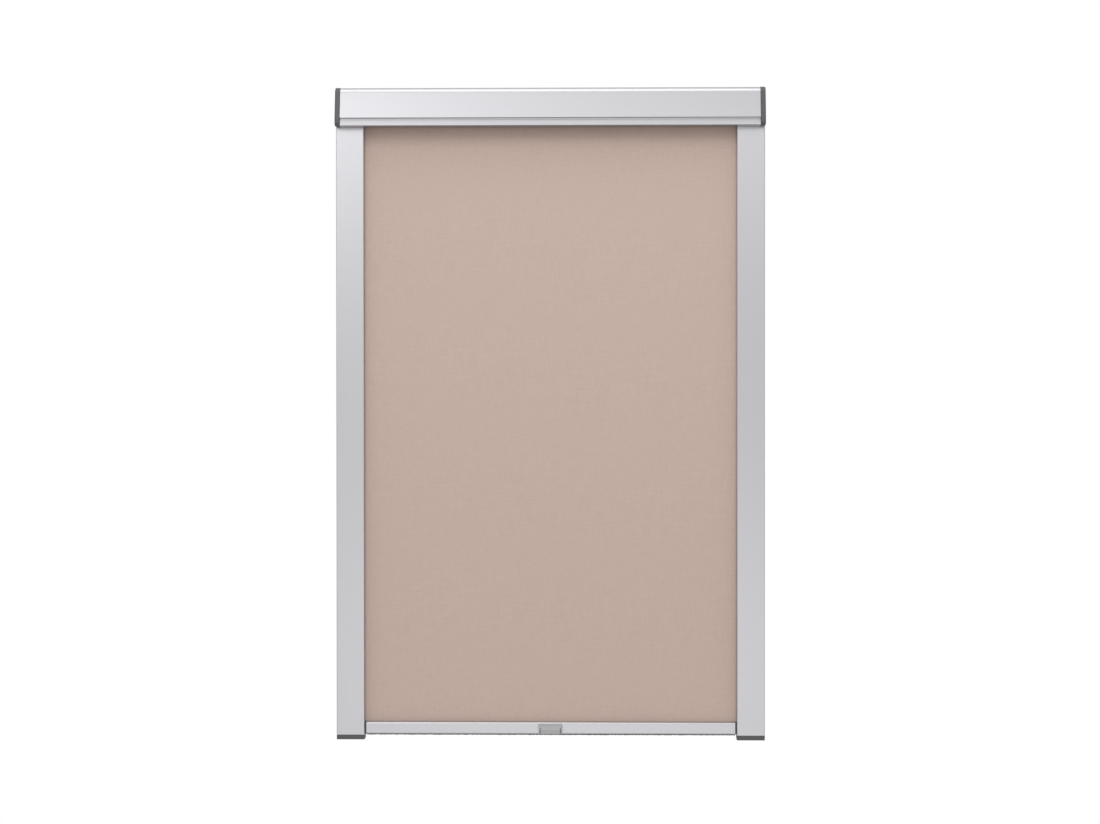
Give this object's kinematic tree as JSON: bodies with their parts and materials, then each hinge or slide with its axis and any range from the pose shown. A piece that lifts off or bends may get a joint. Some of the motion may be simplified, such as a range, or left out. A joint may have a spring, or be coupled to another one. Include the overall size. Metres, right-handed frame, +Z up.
{
  "type": "skylight window blind",
  "caption": "Blackout roller blind for a roof window: aluminium cassette with a spring roller, side rails, fabric, and a pull bar with a grip that slides in the rails.",
  "frame": {"origin": "centre of the cassette's flat back face, level with the roller's axis", "axes": "+X across the blind to the right as seen from the room, +Y back towards the glass, +Z up along the side rails"},
  "size_m": [0.613, 0.0418, 0.9324],
  "materials": {
    "anodised_aluminium": "satin silver anodised extrusion",
    "mill_aluminium": "drawn tube, as it leaves the mill",
    "dark_plastic": "dark grey moulding with a fine grain",
    "grey_plastic": "mid-grey satin moulding",
    "white_plastic": "natural moulding",
    "blackout_cloth": "beige plain weave with a coated back",
    "zinc_plated_steel": "zinc plated",
    "spring_steel": "drawn wire and strip",
    "felt": "pressed felt",
    "seal_pile": "short dark pile on a woven base"
  },
  "bodies": {
    "blind_frame": {"cassette_back_shell": "anodised_aluminium", "cassette_front_cover": "anodised_aluminium", "end_cap_left": "dark_plastic", "end_cap_right": "dark_plastic", "mounting_bracket_left": "zinc_plated_steel", "mounting_bracket_right": "zinc_plated_steel", "side_rail_left": "anodised_aluminium", "side_rail_right": "anodised_aluminium", "rail_connector_left": "dark_plastic", "rail_connector_right": "dark_plastic", "rail_foot_left": "dark_plastic", "rail_foot_right": "dark_plastic", "cap_screw_left_1": "zinc_plated_steel", "cap_screw_left_2": "zinc_plated_steel", "cap_screw_left_3": "zinc_plated_steel", "cap_screw_left_4": "zinc_plated_steel", "cap_screw_right_1": "zinc_plated_steel", "cap_screw_right_2": "zinc_plated_steel", "cap_screw_right_3": "zinc_plated_steel", "cap_screw_right_4": "zinc_plated_steel", "spring_shaft": "zinc_plated_steel", "spring_anchor": "white_plastic", "torsion_spring": "spring_steel", "shaft_retaining_clip": "spring_steel", "idle_bush": "white_plastic", "blackout_fabric": "blackout_cloth"},
    "roller": {"roller_tube": "mill_aluminium", "shaft_bearing_plug": "white_plastic", "spring_driver_plug": "white_plastic", "idle_plug": "white_plastic", "idle_pin": "zinc_plated_steel", "fabric_wrap": "blackout_cloth", "fabric_clamp_strip": "white_plastic"},
    "bar": {"pull_bar": "anodised_aluminium", "bar_light_seal": "seal_pile", "hem_rod": "white_plastic", "fabric_hem": "blackout_cloth", "pull_handle": "grey_plastic", "bar_guide_left": "dark_plastic", "bar_guide_right": "dark_plastic", "brake_pad_left": "felt", "brake_pad_right": "felt", "brake_leaf_left": "spring_steel", "brake_leaf_right": "spring_steel"}
  },
  "joints": [
    {"name": "bar_slide", "type": "slide", "parent": "blind_frame", "child": "bar", "axis": [0, 0, 1], "range_m": [0, 0.844], "deforming": ["blackout_fabric"]},
    {"name": "roller_spin", "type": "hinge", "parent": "blind_frame", "child": "roller", "pos_m": [0, -0.02085, 0], "axis": [1, 0, 0], "range_deg": [0, 3600]}
  ],
  "couplings": [
    {"joint": "roller_spin", "follows": "bar_slide", "rad_per_m": 74.33}
  ]
}
